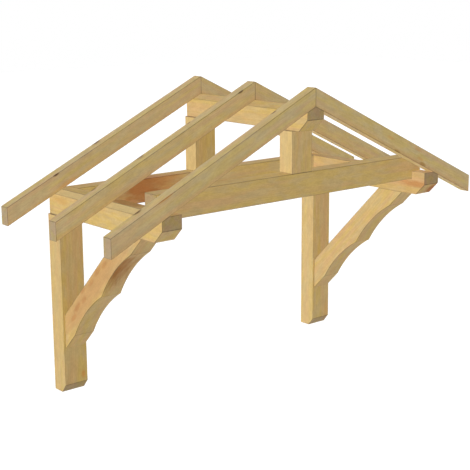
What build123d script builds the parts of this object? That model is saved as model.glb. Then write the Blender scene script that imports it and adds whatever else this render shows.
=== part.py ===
from build123d import *
import math
import os

# Timber porch canopy: an open apex frame on two wall posts, all sizes in mm.
# X runs along the wall, +Y goes into the wall, Z is up.
# The origin is the middle of the rear tie beam's back face, on the wall.

# Driving dimensions
OPENING = 1235.0            # clear width between the wall posts
PROJECTION = 726.0          # wall to the noses of plates, ridge and front rafters
PITCH = 25.2                # roof slope in degrees
HALF_SPAN = 915.0           # ridge line to the plumb feet of the rafters

POST_WIDTH = 100.0
POST_DEPTH = 80.0
POST_LENGTH = 709.0
POST_FOOT_RISE = 33.0       # height of the bevel across the foot's front
POST_FOOT_SETBACK = 27.0    # how far that bevel cuts back

BEAM_HEIGHT = 95.0          # plates and tie beams are sawn from one size
PLATE_WIDTH = 85.0          # plates and braces, centred on the posts
PLATE_BEVEL_DROP = 15.0     # fall of the roof bevel at the plate's outer face
NOSE_CUT = 45.0             # 45 degree cut under the noses of plates and ridge

TIE_THICKNESS = 70.0
TIE_SETBACK = 72.0          # noses to the front tie beam's face
TIE_HOUSING = 32.0          # how deep the front tie beam drops into the plates

KING_WIDTH = 102.0
RIDGE_WIDTH = 85.0
RIDGE_HEIGHT = 94.0

RAFTER_THICKNESS = 45.0
RAFTER_DEPTH = 64.0

BRACE_WIDTH = 95.0          # board width, square to the 45 degree slope
BRACE_REACH = 391.0         # post face to the brace's upper edge, under the plate
BRACE_FLAT = 98.0           # straight edge left at each end of the scallops
BRACE_SCALLOP = 17.5        # depth of each scallop

TENON_THICKNESS = 25.0
TENON_WIDTH = 70.0
TENON_LENGTH = 25.0
JOINT_CLEARANCE = 0.5       # play around a tenon and at its end

# Levels and faces that follow from them
SLOPE = math.tan(math.radians(PITCH))
PLATE_TOP = BEAM_HEIGHT / 2
PLATE_BOTTOM = -BEAM_HEIGHT / 2
POST_INNER = OPENING / 2
POST_OUTER = POST_INNER + POST_WIDTH
PLATE_INNER = POST_INNER + (POST_WIDTH - PLATE_WIDTH) / 2
PLATE_OUTER = PLATE_INNER + PLATE_WIDTH
BEVEL_INNER = PLATE_OUTER - PLATE_BEVEL_DROP / SLOPE
ROOF_APEX = PLATE_TOP - PLATE_BEVEL_DROP + PLATE_OUTER * SLOPE
RIDGE_BOTTOM = ROOF_APEX - RIDGE_HEIGHT
TIE_FRONT = PROJECTION - TIE_SETBACK
TIE_BACK = TIE_FRONT - TIE_THICKNESS
FRONT_TIE_BOTTOM = PLATE_TOP - TIE_HOUSING
FRONT_TIE_TOP = FRONT_TIE_BOTTOM + BEAM_HEIGHT


def roof_line(x):
    """Height of the rafters' underside over a point x along the wall."""
    return ROOF_APEX - abs(x) * SLOPE


def face_from(edges):
    """Plane face inside a closed loop of edges."""
    return Face(Wire(edges))


def outline(points):
    """Straight edges that close a loop through the points."""
    ends = points[1:] + points[:1]
    return [Line(a, b) for a, b in zip(points, ends)]


def along_wall(profile, left, right):
    """Extrude a profile of (distance from wall, height) pairs from x = left to right."""
    points = [(left, -out, z) for out, z in profile]
    return extrude(face_from(outline(points)), amount=right - left, dir=(1, 0, 0))


def out_from_wall(profile, near, far):
    """Extrude a profile of (x, height) pairs between two distances from the wall."""
    points = [(x, -near, z) for x, z in profile]
    return extrude(face_from(outline(points)), amount=far - near, dir=(0, -1, 0))


def block(left, right, near, far, bottom, top):
    """Squared timber between two x, two distances from the wall and two heights."""
    return out_from_wall([(left, bottom), (right, bottom), (right, top), (left, top)], near, far)


def mirrored(piece):
    """The same piece on the other side of the ridge line."""
    return mirror(piece, about=Plane.YZ)


def tenon(middle, base, length, play):
    """Stub tenon, or with play the mortise for it, centred on a tie's thickness."""
    half_width = TENON_WIDTH / 2 + play
    half_thickness = TENON_THICKNESS / 2 + play
    end = base + math.copysign(abs(length) + play, length)
    return block(
        -half_width, half_width,
        middle - half_thickness, middle + half_thickness,
        min(base, end), max(base, end),
    )


def wall_post():
    """Right-hand post, its front foot bevelled back towards the wall."""
    bottom = PLATE_BOTTOM - POST_LENGTH
    side = [
        (0, bottom),
        (POST_DEPTH - POST_FOOT_SETBACK, bottom),
        (POST_DEPTH, bottom + POST_FOOT_RISE),
        (POST_DEPTH, PLATE_BOTTOM),
        (0, PLATE_BOTTOM),
    ]
    return along_wall(side, POST_INNER, POST_OUTER)


def nose_cutter(half_width, middle, bottom):
    """Wedge that takes the lower front corner off a projecting timber."""
    over = 1.0
    corner = [
        (PROJECTION - NOSE_CUT - over, bottom - over),
        (PROJECTION + over, bottom - over),
        (PROJECTION + over, bottom + NOSE_CUT + over),
    ]
    return along_wall(corner, middle - half_width - over, middle + half_width + over)


def side_plate():
    """Right-hand plate with its roof bevel, cut nose and housing for the tie beam."""
    section = [
        (PLATE_INNER, PLATE_BOTTOM),
        (PLATE_OUTER, PLATE_BOTTOM),
        (PLATE_OUTER, roof_line(PLATE_OUTER)),
        (BEVEL_INNER, PLATE_TOP),
        (PLATE_INNER, PLATE_TOP),
    ]
    plate = out_from_wall(section, 0, PROJECTION)
    middle = PLATE_INNER + PLATE_WIDTH / 2
    plate -= nose_cutter(PLATE_WIDTH / 2, middle, PLATE_BOTTOM)
    housing = block(
        PLATE_INNER - 1, BEVEL_INNER, TIE_BACK, TIE_FRONT, FRONT_TIE_BOTTOM, PLATE_TOP + 1
    )
    return plate - housing


def brace():
    """Right-hand scalloped brace between the post's face and the plate's underside."""
    leg = BRACE_REACH + BRACE_WIDTH * math.sqrt(2)
    flat = BRACE_FLAT / math.sqrt(2)
    half = leg / 2

    def at(out, down):
        return (PLATE_INNER, -(POST_DEPTH + out), PLATE_BOTTOM - down)

    def scallop(start, end):
        inset = BRACE_SCALLOP / math.sqrt(2)
        crown = ((start[0] + end[0]) / 2 - inset, (start[1] + end[1]) / 2 - inset)
        return ThreePointArc(at(*start), at(*crown), at(*end))

    edges = [
        Line(at(0, BRACE_REACH), at(0, leg)),
        Line(at(0, leg), at(flat, leg - flat)),
        scallop((flat, leg - flat), (half, half)),
        scallop((half, half), (leg - flat, flat)),
        Line(at(leg - flat, flat), at(leg, 0)),
        Line(at(leg, 0), at(BRACE_REACH, 0)),
        Line(at(BRACE_REACH, 0), at(0, BRACE_REACH)),
    ]
    return extrude(face_from(edges), amount=PLATE_WIDTH, dir=(1, 0, 0))


def rear_tie_beam():
    """Tie beam on the wall, between the two side plates."""
    beam = block(-PLATE_INNER, PLATE_INNER, 0, TIE_THICKNESS, PLATE_BOTTOM, PLATE_TOP)
    return beam - tenon(TIE_THICKNESS / 2, PLATE_TOP, -TENON_LENGTH, JOINT_CLEARANCE)


def front_tie_beam():
    """Tie beam housed in the plates, its square ends just under the roof boards."""
    beam = block(
        -BEVEL_INNER, BEVEL_INNER, TIE_BACK, TIE_FRONT, FRONT_TIE_BOTTOM, FRONT_TIE_TOP
    )
    middle = (TIE_BACK + TIE_FRONT) / 2
    return beam - tenon(middle, FRONT_TIE_TOP, -TENON_LENGTH, JOINT_CLEARANCE)


def king_post(near, foot):
    """Upright from a tie beam to the ridge, with a stub tenon at each end."""
    far = near + TIE_THICKNESS
    post = block(-KING_WIDTH / 2, KING_WIDTH / 2, near, far, foot, RIDGE_BOTTOM)
    post += tenon((near + far) / 2, foot, -TENON_LENGTH, 0)
    post += tenon((near + far) / 2, RIDGE_BOTTOM, TENON_LENGTH, 0)
    return post


def ridge_beam():
    """Ridge with both top faces on the roof slope and a cut nose."""
    half = RIDGE_WIDTH / 2
    section = [
        (-half, RIDGE_BOTTOM),
        (half, RIDGE_BOTTOM),
        (half, roof_line(half)),
        (0, ROOF_APEX),
        (-half, roof_line(half)),
    ]
    ridge = out_from_wall(section, 0, PROJECTION)
    ridge -= nose_cutter(half, 0, RIDGE_BOTTOM)
    for middle in (TIE_THICKNESS / 2, (TIE_BACK + TIE_FRONT) / 2):
        ridge -= tenon(middle, RIDGE_BOTTOM, TENON_LENGTH, JOINT_CLEARANCE)
    return ridge


def rafter(near):
    """Right-hand rafter, cut plumb at the ridge line and at its foot."""
    plumb_depth = RAFTER_DEPTH / math.cos(math.radians(PITCH))
    section = [
        (0, ROOF_APEX),
        (HALF_SPAN, roof_line(HALF_SPAN)),
        (HALF_SPAN, roof_line(HALF_SPAN) + plumb_depth),
        (0, ROOF_APEX + plumb_depth),
    ]
    return out_from_wall(section, near, near + RAFTER_THICKNESS)


def canopy():
    """Every timber by name."""
    front = PROJECTION - RAFTER_THICKNESS
    right_hand = {
        "wall_post": wall_post(),
        "side_plate": side_plate(),
        "brace": brace(),
        "rear_rafter": rafter(0),
        "middle_rafter": rafter(front / 2),
        "front_rafter": rafter(front),
    }
    timbers = {
        "rear_tie_beam": rear_tie_beam(),
        "front_tie_beam": front_tie_beam(),
        "rear_king_post": king_post(0, PLATE_TOP),
        "front_king_post": king_post(TIE_BACK, FRONT_TIE_TOP),
        "ridge_beam": ridge_beam(),
    }
    for name, piece in right_hand.items():
        timbers["right_" + name] = piece
        timbers["left_" + name] = mirrored(piece)
    return timbers


os.makedirs("parts", exist_ok=True)
for name, shape in canopy().items():
    export_step(shape, f"parts/{name}.step")
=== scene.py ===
"""Looks of an open timber porch canopy: treated softwood, soft light, the photograph's camera."""

import math

import bpy
from mathutils import Matrix, Vector


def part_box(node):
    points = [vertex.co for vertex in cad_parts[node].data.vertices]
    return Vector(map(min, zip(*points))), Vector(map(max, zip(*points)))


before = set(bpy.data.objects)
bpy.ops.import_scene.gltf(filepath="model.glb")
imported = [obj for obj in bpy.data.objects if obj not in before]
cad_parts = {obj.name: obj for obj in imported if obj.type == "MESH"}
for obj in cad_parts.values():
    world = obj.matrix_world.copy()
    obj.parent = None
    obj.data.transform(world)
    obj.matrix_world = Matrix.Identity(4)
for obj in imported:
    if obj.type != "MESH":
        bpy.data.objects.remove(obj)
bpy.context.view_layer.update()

MM = 0.001

# Camera, fitted to the photograph
AZIMUTH = math.radians(-40.891)
ELEVATION = math.radians(12.098)
ROLL = math.radians(-0.148)
DISTANCE = 4.4707
TARGET = Vector((0.0, -0.375, -0.1203))
SENSOR = 36.0
LENS = 85.43
SHIFT = (-0.0401, -0.0298)
FAR_CLIP = 100.0

# The canopy hangs on a wall: its side plates lie about 2.1 m over the ground
GROUND = -2.15
FLOOR_HALF = 30.0
FLOOR_COLOUR = (0.36, 0.36, 0.36, 1.0)
FLOOR_LIFT = 0.75
FLOOR_ROUGHNESS = 0.9

# Light levels: together they show a colour about as it is written. Spreads are in degrees.
ROOM = 0.20
WIDE_FROM = Vector((-0.92, -0.34, 0.187))
WIDE_LEFT = 0.79
WIDE_RIGHT = 0.25
WIDE_SPREAD = 180
KEY_FROM = Vector((-0.98, -0.16, 0.10))
KEY = 0.43
KEY_SPREAD = 20

# Roof slope, as the rafters are laid
PITCH = math.radians(25.2)

# Eased arrises
ARRIS = 1.8 * MM
ARRIS_STEPS = 3
SHARP_ANGLE = math.radians(12)
WELD = 0.02 * MM


def paint(red, green, blue):
    """Linear colour from 0 to 255 screen values."""
    def linear(value):
        share = value / 255
        return share / 12.92 if share <= 0.04045 else ((share + 0.055) / 1.055) ** 2.4
    return (linear(red), linear(green), linear(blue), 1.0)


# Wood colours
STRAW = paint(190, 161, 95)
MOSS = paint(185, 160, 112)
ROSE = paint(189, 155, 107)
LATE = paint(160, 128, 74)
PALE = paint(198, 172, 120)
WARM = paint(190, 148, 90)
RESIN = paint(196, 138, 72)
HEART = paint(162, 104, 54)
RUST = paint(180, 130, 76)
# Dark red-brown: painted shade, warm like bounced light, under the left brace's scallops
UNDER_SHADE = paint(148, 98, 46)
BLUSH = paint(180, 140, 90)
# Umber: painted shade on the left plate's flat top, and small dark marks on a rafter
UMBER = paint(154, 112, 54)
KNOT = paint(100, 66, 38)
END_TINT = (0.67, 0.68, 0.78, 1.0)
# Arris tint: dark lines along the edges, and painted shade where the eased arrises of two timbers
# meet
ARRIS_TINT = (0.53, 0.52, 0.54)

# Tones that the wood colours are multiplied by
BEAM_TONE = (0.91, 0.92, 0.90)
RAFTER_TONE = (0.915, 0.985, 1.11)
TONES = {
    "rear_king_post": (0.84, 0.83, 0.74),
    "left_wall_post": (0.87, 0.87, 0.80),
    "left_brace": (0.90, 0.91, 0.88),
    "right_side_plate": (0.86, 0.84, 0.85),
}

# Features of the wood: sizes in metres, twice across the grain and once along it
BAND = (0.030, 0.030, 0.50)
MOTTLE = (0.028, 0.028, 0.090)
STREAK = (0.008, 0.008, 0.16)
SPECK = (0.005, 0.005, 0.011)
FIBRE = (0.0016, 0.0016, 0.05)
FIBRE_ROUGHNESS = 0.65
CLOUD = (0.016, 0.016, 0.045)
RIM = (0.018, 0.018, 0.06)
SWAY = (0.10, 0.10, 0.55)
RIPPLE = (0.02, 0.02, 0.20)

# Noise values between which a feature comes in, and what it comes in from and to
BAND_SHARE = (0.38, 0.62)
MOTTLE_SHARE = (0.42, 0.66, 0.0, 0.85)
STREAK_SHARE = (0.50, 0.75, 0.0, 0.25)
FIBRE_SHADE = (0.25, 0.75, 0.96, 1.035)
SPECK_SHADE = (0.3, 0.7, 0.95, 1.04)
CLOUD_SHADE = (0.35, 0.65, 0.94, 1.03)
FIBRE_GLOSS = (0.2, 0.8, 0.62, 0.78)

# Each timber reads its noises at its own spot: its heart's place times this
SPOT_SPREAD = 5.0
CLOUD_OFFSET = (3.0, 5.0, 7.0)

# Year rings: spacing, how far they wander, and where in a ring the late wood starts and stops
RING_SPACING = 5.0 * MM
SWAY_DEPTH = 0.030
RIPPLE_DEPTH = 0.004
LATE_RISE = (0.25, 0.88)
LATE_FALL = (0.93, 1.0, 1.0, 0.0)
LATE_SHARE = 0.12

# Surface of planed wood
LATE_RELIEF = 0.5
BUMP_STRENGTH = 0.5
BUMP_DEPTH = 0.00025
SPECULAR = 0.2

# End grain shows where a face looks this much along the grain
END_FROM = 0.75
POST_END = 0.50
END_FADE = 0.10

# Patches fade between these shares of their reach. Their rims wander by a share of it, less
# where the patch reaches under 20 mm across. A patch on one side fades where the face turns.
PATCH_FADE = (0.75, 1.75)
RIM_WANDER = 1.2
FULL_WANDER_FROM = 20
SIDE_FADE = (0.92, 0.96)

# Offset of each timber's heart from its middle, in mm
HEARTS = {
    "rear_tie_beam": (0, 10, -60),
    "front_tie_beam": (0, 14, -75),
    "rear_king_post": (15, 30, 0),
    "front_king_post": (-25, 60, 0),
    "ridge_beam": (6, 0, -12),
    "left_wall_post": (30, 45, 0),
    "right_wall_post": (-60, 50, 0),
    "left_side_plate": (12, 0, -8),
    "right_side_plate": (10, 0, 6),
    "left_brace": (60, 20, -20),
    "right_brace": (70, -20, 20),
    "left_rear_rafter": (0, 30, -60),
    "left_middle_rafter": (20, 40, -40),
    "left_front_rafter": (0, 55, -30),
    "right_rear_rafter": (0, -30, -60),
    "right_middle_rafter": (0, 30, 60),
    "right_front_rafter": (0, 60, -40),
}

# Sides that a patch may be kept to
ANY = None
LEFT = (-1.0, 0.0, 0.0)
TOP = (0.0, 0.0, 1.0)
SLOPE = (-math.sin(PITCH), 0.0, math.cos(PITCH))
UNDER = (0.0, -math.sqrt(0.5), -math.sqrt(0.5))

# Soft patches of other colours: middle in mm, reach across and along the grain, strength,
# colour and side
PATCHES = {
    "rear_tie_beam": [
        ((-220, -70, 30), 80, 150, 0.9, RUST, ANY),
        ((-330, -70, 0), 110, 150, 1.0, HEART, ANY),
    ],
    "rear_king_post": [
        ((0, -35, 185), 300, 900, 0.7, PALE, LEFT),
    ],
    "front_king_post": [
        ((0, -620, 200), 300, 900, 0.6, PALE, LEFT),
    ],
    "left_side_plate": [
        # Painted shade on the flat top under the rafters, over a slightly reddish tone of the
        # wood
        ((-640, -440, 48), 90, 160, 1.0, UMBER, TOP),
        ((-700, -360, 40), 120, 900, 1.0, PALE, SLOPE),
        ((-710, -80, 10), 16, 70, 0.35, RESIN, LEFT),
    ],
    "right_side_plate": [
        ((625, -665, -4), 19, 120, 0.9, RUST, LEFT),
        ((700, -705, -28), 42, 90, 1.0, HEART, UNDER),
    ],
    "left_brace": [
        ((-710, -296, -276), 64, 600, 1.0, BLUSH, LEFT),
        ((-710, -366, -184), 9, 24, 0.45, HEART, LEFT),
        ((-710, -322, -216), 10, 30, 0.5, HEART, LEFT),
        ((-710, -275, -268), 9, 24, 0.45, HEART, LEFT),
        ((-710, -216, -310), 8, 20, 0.45, HEART, LEFT),
        ((-710, -222, -346), 9, 22, 0.4, HEART, LEFT),
        ((-710, -174, -386), 10, 30, 0.5, HEART, LEFT),
        ((-710, -146, -432), 9, 24, 0.45, HEART, LEFT),
        # Painted shade under the brace's scallops, dark and warm
        ((-712, -445, -195), 90, 150, 1.0, UNDER_SHADE, UNDER),
    ],
    "left_rear_rafter": [
        ((-457, -45, 152), 15, 1200, 0.6, WARM, ANY),
        ((-653, -45, 70), 10, 40, 0.5, RESIN, ANY),
        ((-494, 0, 205), 18, 26, 1.0, KNOT, ANY),
        ((-702, -45, 107), 5, 12, 0.9, KNOT, ANY),
    ],
    "left_middle_rafter": [
        ((-457, -385, 152), 15, 1200, 0.6, WARM, ANY),
        ((-528, -340, 189), 22, 26, 1.0, KNOT, ANY),
        ((-730, -340, 94), 10, 12, 0.7, KNOT, ANY),
        ((-300, -340, 296), 10, 12, 0.7, KNOT, ANY),
        ((-74, -385, 403), 5, 12, 0.9, KNOT, ANY),
    ],
    "left_front_rafter": [
        ((-457, -726, 152), 15, 1200, 0.6, WARM, ANY),
        ((-781, -681, 70), 16, 18, 1.0, KNOT, ANY),
        ((-173, -681, 356), 10, 14, 0.8, KNOT, ANY),
        ((-693, -726, 111), 4, 30, 0.9, RESIN, ANY),
    ],
    "right_rear_rafter": [
        ((457, -45, 152), 15, 1200, 0.6, WARM, ANY),
    ],
    "right_middle_rafter": [
        ((457, -385, 152), 15, 1200, 0.6, WARM, ANY),
    ],
    "right_front_rafter": [
        ((457, -726, 152), 15, 1200, 0.6, WARM, ANY),
        ((414, -726, 214), 5, 20, 0.45, RESIN, ANY),
        ((578, -726, 150), 5, 20, 0.45, RESIN, ANY),
        ((595, -726, 110), 5, 18, 0.45, RESIN, ANY),
        ((454, -726, 155), 6, 18, 0.8, UMBER, ANY),
        ((610, -726, 87), 6, 18, 0.8, UMBER, ANY),
    ],
    "left_wall_post": [
        ((-717, -40, -400), 60, 900, 0.3, PALE, LEFT),
        ((-636, -80, -693), 8, 14, 0.8, RESIN, ANY),
    ],
    "right_wall_post": [
        ((617, -40, -400), 60, 900, 0.3, PALE, LEFT),
        ((700, -80, -700), 24, 60, 0.6, WARM, ANY),
    ],
}


class Shader:
    """Adds nodes to one material and wires them up."""

    def __init__(self, name):
        self.material = bpy.data.materials.new(name)
        self.material.use_nodes = True
        self.tree = self.material.node_tree
        self.tree.nodes.clear()

    def feed(self, socket, value):
        """Link a socket to another, or set it to a value."""
        if isinstance(value, bpy.types.NodeSocket):
            self.tree.links.new(value, socket)
        else:
            socket.default_value = value

    def add(self, kind, inputs=None, **settings):
        """One node: settings are its options, inputs are values or sockets by name or number."""
        node = self.tree.nodes.new("ShaderNode" + kind)
        for key, value in settings.items():
            setattr(node, key, value)
        for key, value in (inputs or {}).items():
            self.feed(node.inputs[key], value)
        return node

    def maths(self, operation, first, second=0.0, third=0.0):
        """Output of a Math node."""
        node = self.add("Math", {0: first, 1: second, 2: third}, operation=operation)
        return node.outputs[0]

    def vector(self, operation, first, second=(0.0, 0.0, 0.0)):
        """Output of a VectorMath node: a number for a length or a dot product."""
        node = self.add("VectorMath", {0: first, 1: second}, operation=operation)
        single = operation in ("LENGTH", "DOT_PRODUCT")
        return node.outputs["Value" if single else "Vector"]

    def ramp(self, value, low, high, start=0.0, end=1.0):
        """Smooth step of a value from low..high to start..end."""
        node = self.add(
            "MapRange",
            {"Value": value, "From Min": low, "From Max": high, "To Min": start, "To Max": end},
            interpolation_type="SMOOTHSTEP",
        )
        return node.outputs["Result"]

    def noise(self, place, sizes, detail=2.0, roughness=0.5):
        """Noise whose features measure sizes, in metres, along the three axes of place."""
        scaled = self.vector("MULTIPLY", place, tuple(1 / size for size in sizes))
        inputs = {"Vector": scaled, "Scale": 1.0, "Detail": detail, "Roughness": roughness}
        return self.add("TexNoise", inputs).outputs["Fac"]

    def mix(self, share, first, second, blend="MIX"):
        """Colour mix of two colours or sockets."""
        node = self.add("Mix", data_type="RGBA", blend_type=blend, clamp_factor=True)
        colours = [socket for socket in node.inputs if socket.type == "RGBA"]
        for socket, value in zip((node.inputs[0], *colours), (share, first, second)):
            self.feed(socket, value)
        return next(socket for socket in node.outputs if socket.type == "RGBA")


def seen_by_eye(tree):
    """1 for rays from the camera and those seen in gloss or through glass, 0 for the rest."""
    path = tree.nodes.new("ShaderNodeLightPath")
    seen = path.outputs["Is Camera Ray"]
    for kind in ("Is Glossy Ray", "Is Transmission Ray"):
        either = tree.nodes.new("ShaderNodeMath")
        either.operation = "MAXIMUM"
        tree.links.new(seen, either.inputs[0])
        tree.links.new(path.outputs[kind], either.inputs[1])
        seen = either.outputs[0]
    return seen


def grain_place(shader, heart, grain):
    """Object coordinates turned so that Z runs along the grain, from the heart's line."""
    coordinates = shader.add("TexCoord").outputs["Object"]
    turn = grain.to_track_quat("Z", "Y").to_euler()
    inputs = {"Vector": coordinates, "Location": heart, "Rotation": turn}
    return shader.add("Mapping", inputs, vector_type="TEXTURE").outputs["Vector"]


def year_rings(shader, place):
    """Share of dark late wood, from 0 to 1, in rings that sway along the length."""
    sway = shader.noise(place, SWAY, 1.0)
    ripple = shader.noise(place, RIPPLE)
    radius = shader.vector("LENGTH", shader.vector("MULTIPLY", place, (1.0, 1.0, 0.0)))
    radius = shader.maths("MULTIPLY_ADD", sway, SWAY_DEPTH, radius)
    radius = shader.maths("MULTIPLY_ADD", ripple, RIPPLE_DEPTH, radius)
    share = shader.maths("FRACT", shader.maths("DIVIDE", radius, RING_SPACING))
    rise = shader.ramp(share, *LATE_RISE)
    fall = shader.ramp(share, *LATE_FALL)
    return shader.maths("MULTIPLY", rise, fall)


def clear_wood(shader, spot, late):
    """Colour of wood without patches: bands, mottles, pale streaks and late wood."""
    band = shader.noise(spot, BAND, 1.0)
    mottle = shader.noise(spot, MOTTLE)
    streak = shader.noise(spot, STREAK)
    colour = shader.mix(shader.ramp(band, *BAND_SHARE), STRAW, ROSE)
    colour = shader.mix(shader.ramp(mottle, *MOTTLE_SHARE), colour, MOSS)
    colour = shader.mix(shader.ramp(streak, *STREAK_SHARE), colour, PALE)
    return shader.mix(shader.maths("MULTIPLY", late, LATE_SHARE), colour, LATE)


def patched(shader, colour, place, normal, to_grain, patches):
    """Colour with soft, ragged patches. to_grain turns a point in metres into place's axes."""
    rim = shader.noise(place, RIM, 3.0)
    for middle, across, along, strength, patch_colour, side in patches:
        away = shader.vector("SUBTRACT", place, tuple(to_grain(Vector(middle) * MM)))
        reach = (across * MM, across * MM, along * MM)
        distance = shader.vector("LENGTH", shader.vector("DIVIDE", away, reach))
        wander = RIM_WANDER * min(1.0, across / FULL_WANDER_FROM)
        distance = shader.maths("MULTIPLY_ADD", rim, wander, distance)
        share = shader.ramp(distance, *PATCH_FADE, strength, 0.0)
        if side:
            towards = shader.vector("DOT_PRODUCT", normal, side)
            share = shader.maths("MULTIPLY", share, shader.ramp(towards, *SIDE_FADE))
        colour = shader.mix(share, colour, patch_colour)
    return colour


def shaded(shader, colour, spot, fibre):
    """Colour lightened and darkened by fibres, specks and clouds."""
    speck = shader.noise(spot, SPECK)
    cloud = shader.noise(shader.vector("ADD", spot, CLOUD_OFFSET), CLOUD)
    value = shader.ramp(fibre, *FIBRE_SHADE)
    value = shader.maths("MULTIPLY", value, shader.ramp(speck, *SPECK_SHADE))
    value = shader.maths("MULTIPLY", value, shader.ramp(cloud, *CLOUD_SHADE))
    return shader.mix(1.0, colour, value, "MULTIPLY")


def softwood(name, heart, grain, tint, end_from, patches):
    """Planed, treated softwood with year rings round the heart's line."""
    shader = Shader(name)
    place = grain_place(shader, heart, grain)
    turn = grain.to_track_quat("Z", "Y").to_matrix().inverted()
    late = year_rings(shader, place)
    spot = shader.vector("ADD", place, tuple(heart * SPOT_SPREAD))
    fibre = shader.noise(spot, FIBRE, 2.0, FIBRE_ROUGHNESS)
    normal = shader.add("NewGeometry").outputs["Normal"]
    colour = clear_wood(shader, spot, late)
    colour = patched(shader, colour, place, normal, lambda point: turn @ (point - heart), patches)
    colour = shaded(shader, colour, spot, fibre)
    colour = shader.mix(1.0, colour, (*tint, 1.0), "MULTIPLY")

    # End grain is darker and greyer
    facing = shader.maths("ABSOLUTE", shader.vector("DOT_PRODUCT", normal, tuple(grain)))
    end = shader.ramp(facing, end_from, end_from + END_FADE)
    colour = shader.mix(end, colour, shader.mix(1.0, colour, END_TINT, "MULTIPLY"))

    height = shader.maths("MULTIPLY_ADD", late, LATE_RELIEF, fibre)
    relief = {"Height": height, "Strength": BUMP_STRENGTH, "Distance": BUMP_DEPTH}
    bump = shader.add("Bump", relief)
    surface = shader.add("BsdfPrincipled", {
        "Base Color": colour,
        "Roughness": shader.ramp(fibre, *FIBRE_GLOSS),
        "Specular IOR Level": SPECULAR,
        "Normal": bump.outputs["Normal"],
    })
    shader.add("OutputMaterial", {"Surface": surface.outputs["BSDF"]})
    return shader.material


def grain_of(node):
    """Direction that a timber's grain runs in."""
    side = -1.0 if node.startswith("left_") else 1.0
    if node.endswith("rafter"):
        return Vector((side * math.cos(PITCH), 0.0, -math.sin(PITCH)))
    if node.endswith("brace"):
        return Vector((0.0, -1.0, 1.0)).normalized()
    if node.endswith("tie_beam"):
        return Vector((1.0, 0.0, 0.0))
    if node.endswith(("side_plate", "ridge_beam")):
        return Vector((0.0, 1.0, 0.0))
    return Vector((0.0, 0.0, 1.0))


def weld_and_smooth():
    """Geometry nodes that weld a CAD mesh and shade it smooth, ready for the bevel."""
    tree = bpy.data.node_groups.new("weld_and_smooth", "GeometryNodeTree")
    tree.interface.new_socket("Geometry", in_out="INPUT", socket_type="NodeSocketGeometry")
    tree.interface.new_socket("Geometry", in_out="OUTPUT", socket_type="NodeSocketGeometry")
    start = tree.nodes.new("NodeGroupInput")
    weld = tree.nodes.new("GeometryNodeMergeByDistance")
    weld.inputs["Distance"].default_value = WELD
    plain = tree.nodes.new("GeometryNodeRemoveAttribute")
    plain.inputs["Name"].default_value = "custom_normal"
    smooth = tree.nodes.new("GeometryNodeSetShadeSmooth")
    end = tree.nodes.new("NodeGroupOutput")
    for first, second in ((start, weld), (weld, plain), (plain, smooth), (smooth, end)):
        tree.links.new(first.outputs[0], second.inputs[0])
    return tree


def dress(node, weld_tree):
    """Material and eased arrises for one CAD timber."""
    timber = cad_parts[node]
    low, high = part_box(node)
    heart = (low + high) / 2 + Vector(HEARTS[node]) * MM
    tone = RAFTER_TONE if node.endswith("rafter") else TONES.get(node, BEAM_TONE)
    # Arrises get a darker copy of the wood: dark edge lines, and painted shade in the joints
    # between timbers
    edge_line_and_joint_shade = [part * dark for part, dark in zip(tone, ARRIS_TINT)]
    end_from = POST_END if node.endswith("wall_post") else END_FROM
    patches = PATCHES.get(node, ())
    timber.data.materials.clear()
    for name, tint in (("wood_", tone), ("arris_", edge_line_and_joint_shade)):
        timber.data.materials.append(
            softwood(name + node, heart, grain_of(node), tint, end_from, patches)
        )
    weld = timber.modifiers.new("weld", "NODES")
    weld.node_group = weld_tree
    bevel = timber.modifiers.new("arrises", "BEVEL")
    bevel.width = ARRIS
    bevel.segments = ARRIS_STEPS
    bevel.limit_method = "ANGLE"
    bevel.angle_limit = SHARP_ANGLE
    bevel.harden_normals = True
    bevel.material = 1


def camera():
    """The photograph's viewpoint."""
    back = Vector((
        math.sin(AZIMUTH) * math.cos(ELEVATION),
        -math.cos(AZIMUTH) * math.cos(ELEVATION),
        math.sin(ELEVATION),
    ))
    level = Vector((math.cos(AZIMUTH), math.sin(AZIMUTH), 0.0))
    above = back.cross(level)
    right = level * math.cos(ROLL) + above * math.sin(ROLL)
    up = above * math.cos(ROLL) - level * math.sin(ROLL)
    lens = bpy.data.cameras.new("camera")
    lens.sensor_width = SENSOR
    lens.lens = LENS
    lens.shift_x, lens.shift_y = SHIFT
    lens.clip_end = FAR_CLIP
    eye = bpy.data.objects.new("camera", lens)
    turn = Matrix((right, up, back)).transposed().to_4x4()
    eye.matrix_world = Matrix.Translation(TARGET + back * DISTANCE) @ turn
    bpy.context.scene.collection.objects.link(eye)
    bpy.context.scene.camera = eye


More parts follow.
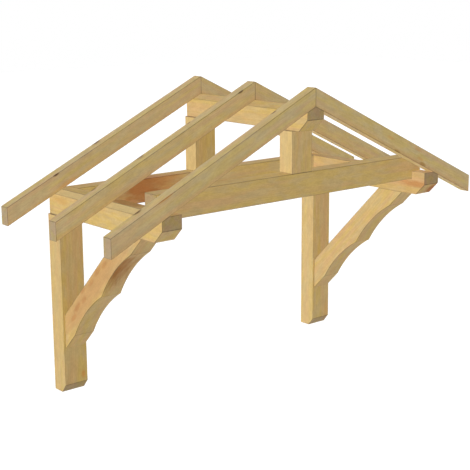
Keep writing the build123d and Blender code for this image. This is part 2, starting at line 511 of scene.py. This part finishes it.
def sun(name, direction, strength, spread):
    """Distant soft lamp without shadows: at 180 degrees it lights like half a pale sky."""
    light = bpy.data.lights.new(name, "SUN")
    light.energy = strength * math.pi
    light.angle = math.radians(spread)
    light.use_shadow = False
    light.cycles.use_multiple_importance_sampling = False
    lamp = bpy.data.objects.new(name, light)
    lamp.rotation_euler = direction.to_track_quat("Z", "Y").to_euler()
    bpy.context.scene.collection.objects.link(lamp)


def lights():
    """Soft light from all round, strongest from the left, in a pale room."""
    sun("wide_left", WIDE_FROM, WIDE_LEFT, WIDE_SPREAD)
    sun("wide_right", -WIDE_FROM, WIDE_RIGHT, WIDE_SPREAD)
    sun("key", KEY_FROM, KEY, KEY_SPREAD)
    world = bpy.data.worlds.new("room")
    world.use_nodes = True
    tree = world.node_tree
    background = tree.nodes["Background"]
    background.inputs["Color"].default_value = (1.0, 1.0, 1.0, 1.0)
    strength = tree.nodes.new("ShaderNodeMapRange")
    strength.inputs["To Min"].default_value = ROOM
    strength.inputs["To Max"].default_value = 1.0
    tree.links.new(seen_by_eye(tree), strength.inputs["Value"])
    tree.links.new(strength.outputs["Result"], background.inputs["Strength"])
    bpy.context.scene.world = world


def floor():
    """Plain white ground far below the canopy."""
    mesh = bpy.data.meshes.new("floor")
    corners = [(-1, -1), (1, -1), (1, 1), (-1, 1)]
    points = [(x * FLOOR_HALF, y * FLOOR_HALF, GROUND) for x, y in corners]
    mesh.from_pydata(points, [], [(0, 1, 2, 3)])
    ground = bpy.data.objects.new("floor", mesh)
    bpy.context.scene.collection.objects.link(ground)
    shader = Shader("floor")
    surface = shader.add("BsdfPrincipled", {
        "Base Color": FLOOR_COLOUR,
        "Roughness": FLOOR_ROUGHNESS,
        "Emission Color": (1.0, 1.0, 1.0, 1.0),
        "Emission Strength": shader.maths("MULTIPLY", seen_by_eye(shader.tree), FLOOR_LIFT),
    })
    shader.add("OutputMaterial", {"Surface": surface.outputs["BSDF"]})
    mesh.materials.append(shader.material)


camera()
lights()
floor()
weld_tree = weld_and_smooth()
for node in sorted(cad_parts):
    dress(node, weld_tree)
bpy.context.scene.view_settings.view_transform = "Standard"
